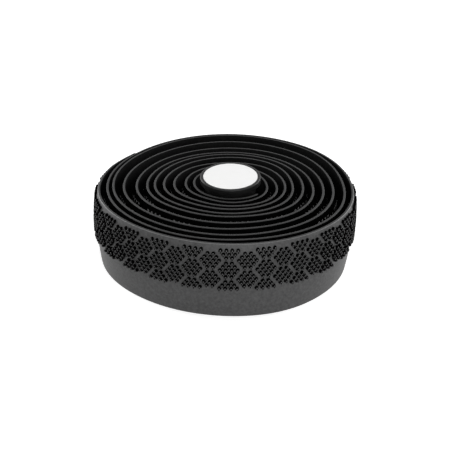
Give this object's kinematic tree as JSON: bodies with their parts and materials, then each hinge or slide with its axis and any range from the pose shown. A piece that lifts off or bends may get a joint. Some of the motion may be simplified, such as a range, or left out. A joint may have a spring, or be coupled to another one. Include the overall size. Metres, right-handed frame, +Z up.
{
  "type": "handlebar tape roll",
  "caption": "Roll of studded foam handlebar tape standing on its edges, with a push-in bar end plug in the middle.",
  "frame": {"origin": "middle of the bounding box, on the surface that the roll stands on", "axes": "+Z up, along the roll's and the plug's axis; +Y away from a viewer who faces the front of the roll; +X to the viewer's right"},
  "size_m": [0.106, 0.1078, 0.034],
  "materials": {
    "tape_foam": "matte dark grey moulded foam, finely mottled, with moulded studs",
    "plug_plastic": "black moulded plastic with a satin rim",
    "badge_white": "plain white, slightly glossy"
  },
  "bodies": {
    "root": {"tape": "tape_foam", "bar_end_plug": "plug_plastic", "plug_badge": "badge_white"}
  },
  "joints": []
}
